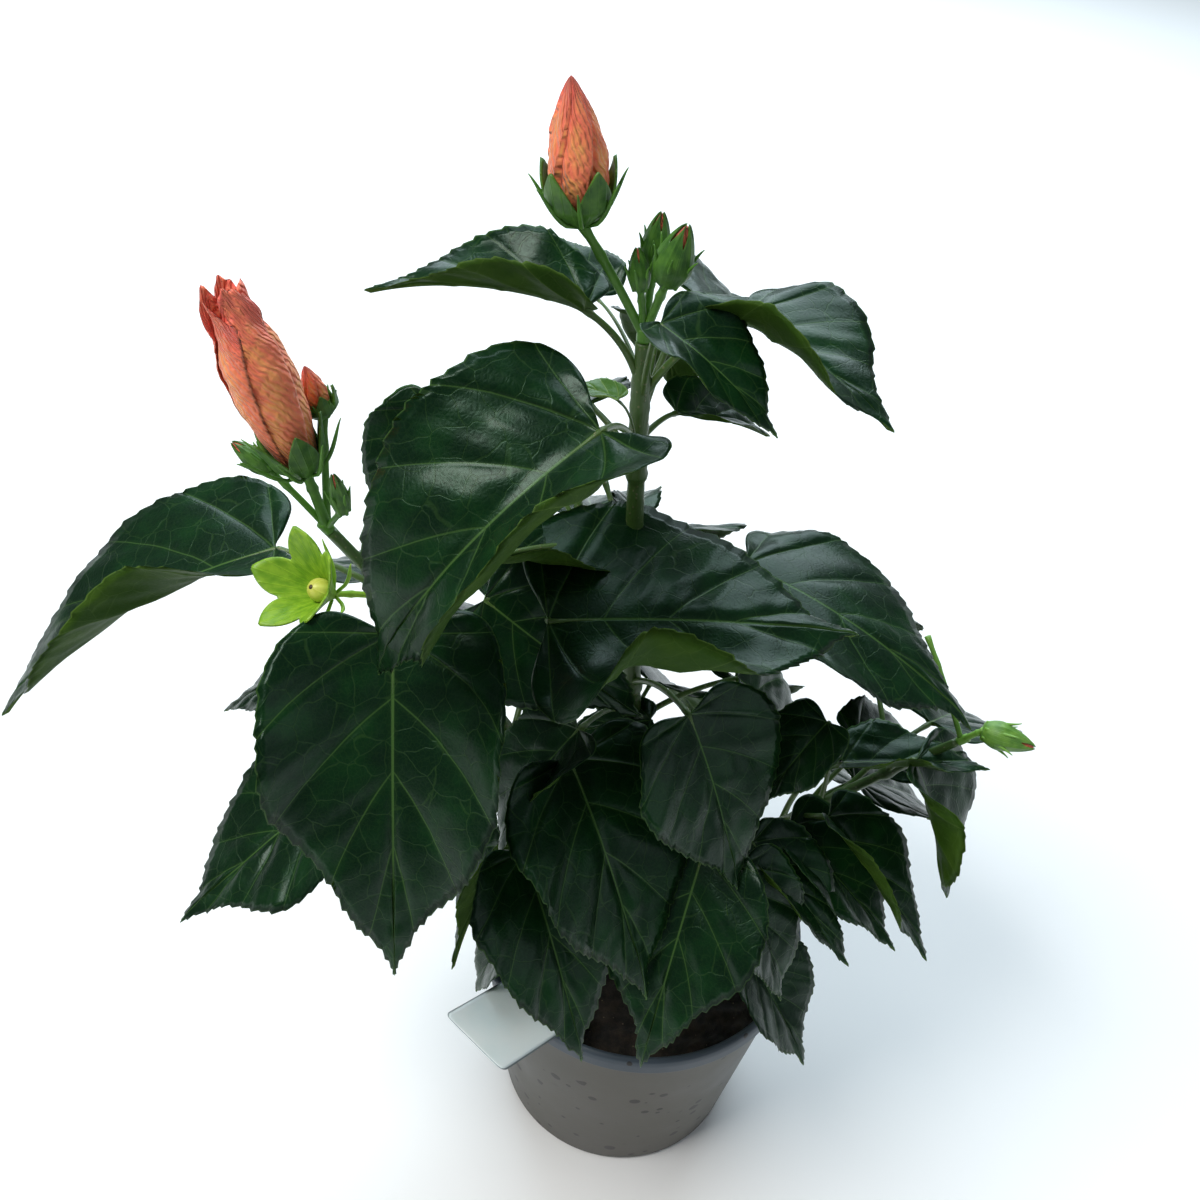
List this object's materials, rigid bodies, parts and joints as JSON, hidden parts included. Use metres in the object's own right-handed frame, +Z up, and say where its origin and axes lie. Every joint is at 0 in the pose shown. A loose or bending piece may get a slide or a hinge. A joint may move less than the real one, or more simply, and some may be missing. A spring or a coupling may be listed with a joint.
{
  "type": "potted hibiscus shrub",
  "caption": "Young potted hibiscus shrub: an upright leafy stem with low side boughs, large glossy toothed leaves, furled coral flower buds, and a round tapering nursery pot with a blank label.",
  "frame": {"origin": "centre of the pot's flat underside", "axes": "+Z up, -Y towards the viewer of the picture, +X to that viewer's right"},
  "size_m": [0.3406, 0.2444, 0.4341],
  "materials": {
    "pot": "satin",
    "potting_mix": "matte",
    "label": "satin",
    "stem": "satin",
    "foliage": "gloss",
    "petal": "satin",
    "bud": "satin"
  },
  "bodies": {
    "root": {"pot": "pot", "potting_mix": "potting_mix", "plant_label": "label", "main_stem": "stem", "bough_left": "stem", "bough_right": "stem", "bough_front": "stem", "bough_low_left": "stem", "bough_back_left": "stem", "bough_back_right": "stem", "foliage_top": "foliage", "foliage_centre": "foliage", "foliage_left": "foliage", "foliage_right": "foliage", "foliage_front": "foliage", "foliage_low_left": "foliage", "foliage_back_left": "foliage", "foliage_back_right": "foliage", "petals_top": "petal", "flowers_top": "bud", "petals_left": "petal", "flowers_left": "bud", "buds_right": "bud"}
  },
  "joints": []
}
